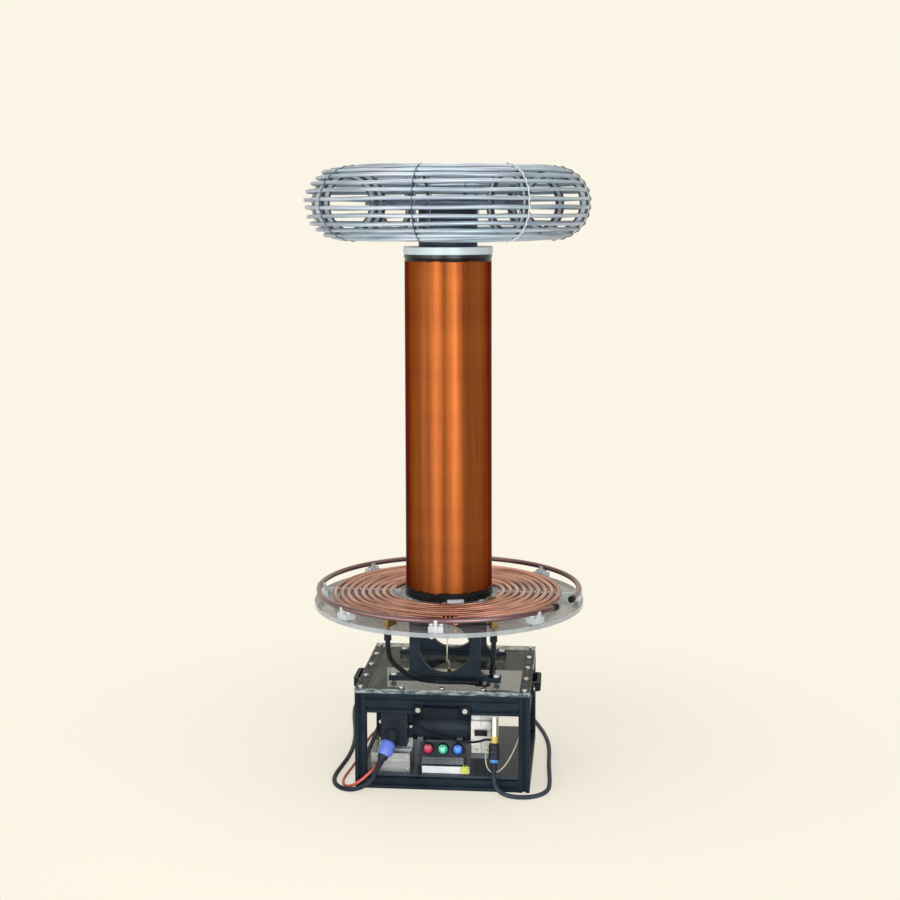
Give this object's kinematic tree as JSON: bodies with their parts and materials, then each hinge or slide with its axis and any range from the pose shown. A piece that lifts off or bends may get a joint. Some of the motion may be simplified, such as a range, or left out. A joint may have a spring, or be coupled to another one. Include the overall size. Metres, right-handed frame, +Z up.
{
  "type": "desktop resonant transformer",
  "caption": "Tall resonant transformer: open driver box, clear disc with a flat copper coil and strike rail, wound column and a round wire-cage terminal.",
  "frame": {"origin": "on the floor, under the middle of the column", "axes": "+X to the right and +Y to the back, seen from the front with the lamps; +Z up along the column"},
  "size_m": [0.524, 0.6502, 1.1162],
  "materials": {
    "corner_posts": "satin black",
    "lower_beams": "satin black",
    "upper_beams": "satin black",
    "base_plate": "bare sheet",
    "top_plate": "clear acrylic",
    "top_plate_bolts": "bright zinc",
    "carry_handles": "matt black",
    "bright_screws": "bright zinc",
    "stand_front": "matt black",
    "stand_rear": "matt black",
    "nylon_bolts": "natural nylon",
    "primary_disc": "clear acrylic",
    "primary_coil": "bare copper",
    "primary_combs": "clear acrylic",
    "strike_rail": "dulled copper",
    "tap_clamp": "bare copper",
    "black_sleeves": "flexible jacket",
    "brass_terminals": "turned brass",
    "column_seat": "clear acrylic",
    "white_plates": "plain white",
    "column_former": "grey plastic tube",
    "column_winding": "varnished copper wire",
    "column_collars": "matt black",
    "column_cap": "pale plastic",
    "neck_tube": "dark slate plastic",
    "cage_hub": "brushed plate",
    "cage_rings": "bare bent tube",
    "cage_ribs": "clear acrylic",
    "cage_ties": "thin lacing",
    "centre_bolt": "bright zinc",
    "heavy_leads": "flexible jacket",
    "lead_lugs": "bright zinc",
    "thin_black_leads": "flexible jacket",
    "pale_wires": "pale sleeve",
    "supply_case": "pressed sheet",
    "sheet_brackets": "satin black",
    "power_inlet": "matt black",
    "bus_capacitor": "matt black",
    "capacitor_cradles": "matt black",
    "lamp_panel": "matt black",
    "lamp_red": "clear red lens",
    "lamp_green": "clear green lens",
    "lamp_blue": "clear blue lens",
    "terminal_strip": "grey brown moulding",
    "earth_knob": "yellow green moulding",
    "breaker_body": "pale grey moulding",
    "breaker_lever": "matt black",
    "signal_socket": "plated shell",
    "signal_collar": "yellow ring",
    "power_plug": "periwinkle blue",
    "power_cord_run": "flexible jacket",
    "power_cord_coil": "flexible jacket",
    "power_cord_plug": "matt black",
    "earth_cord_run": "red jacket",
    "earth_cord_coil": "red jacket",
    "earth_cord_clip": "red boot",
    "signal_plug": "matt black",
    "signal_cord_run": "grey jacket",
    "signal_cord_coil": "grey jacket",
    "signal_cord_plug": "matt black"
  },
  "bodies": {
    "base": {"corner_posts": "corner_posts", "lower_beams": "lower_beams", "upper_beams": "upper_beams", "base_plate": "base_plate", "top_plate": "top_plate", "top_plate_bolts": "top_plate_bolts", "carry_handles": "carry_handles", "bright_screws": "bright_screws", "stand_front": "stand_front", "stand_rear": "stand_rear", "nylon_bolts": "nylon_bolts", "primary_disc": "primary_disc", "primary_coil": "primary_coil", "primary_combs": "primary_combs", "strike_rail": "strike_rail", "tap_clamp": "tap_clamp", "black_sleeves": "black_sleeves", "brass_terminals": "brass_terminals", "column_seat": "column_seat", "white_plates": "white_plates", "heavy_leads": "heavy_leads", "lead_lugs": "lead_lugs", "thin_black_leads": "thin_black_leads", "pale_wires": "pale_wires", "supply_case": "supply_case", "sheet_brackets": "sheet_brackets", "power_inlet": "power_inlet", "bus_capacitor": "bus_capacitor", "capacitor_cradles": "capacitor_cradles", "lamp_panel": "lamp_panel", "lamp_red": "lamp_red", "lamp_green": "lamp_green", "lamp_blue": "lamp_blue", "terminal_strip": "terminal_strip", "breaker_body": "breaker_body", "signal_socket": "signal_socket", "signal_collar": "signal_collar", "power_plug": "power_plug", "power_cord_run": "power_cord_run", "power_cord_coil": "power_cord_coil", "power_cord_plug": "power_cord_plug", "earth_cord_run": "earth_cord_run", "earth_cord_coil": "earth_cord_coil", "earth_cord_clip": "earth_cord_clip", "signal_plug": "signal_plug", "signal_cord_run": "signal_cord_run", "signal_cord_coil": "signal_cord_coil", "signal_cord_plug": "signal_cord_plug"},
    "column": {"column_former": "column_former", "column_winding": "column_winding", "column_collars": "column_collars", "column_cap": "column_cap"},
    "cage": {"neck_tube": "neck_tube", "cage_hub": "cage_hub", "cage_rings": "cage_rings", "cage_ribs": "cage_ribs", "cage_ties": "cage_ties", "centre_bolt": "centre_bolt"},
    "lever": {"breaker_lever": "breaker_lever"},
    "knob": {"earth_knob": "earth_knob"}
  },
  "joints": [
    {"name": "column_lift", "type": "slide", "parent": "base", "child": "column", "axis": [0, 0, 1], "range_m": [0, 0.1]},
    {"name": "cage_lift", "type": "slide", "parent": "column", "child": "cage", "axis": [0, 0, 1], "range_m": [0, 0.1]},
    {"name": "breaker_switch", "type": "hinge", "parent": "base", "child": "lever", "pos_m": [0.067, -0.102, 0.092], "axis": [1, 0, 0], "range_deg": [0, 70]},
    {"name": "knob_turn", "type": "hinge", "parent": "base", "child": "knob", "pos_m": [0.04, -0.1256, 0.0328], "axis": [0, 1, 0], "continuous": true}
  ]
}
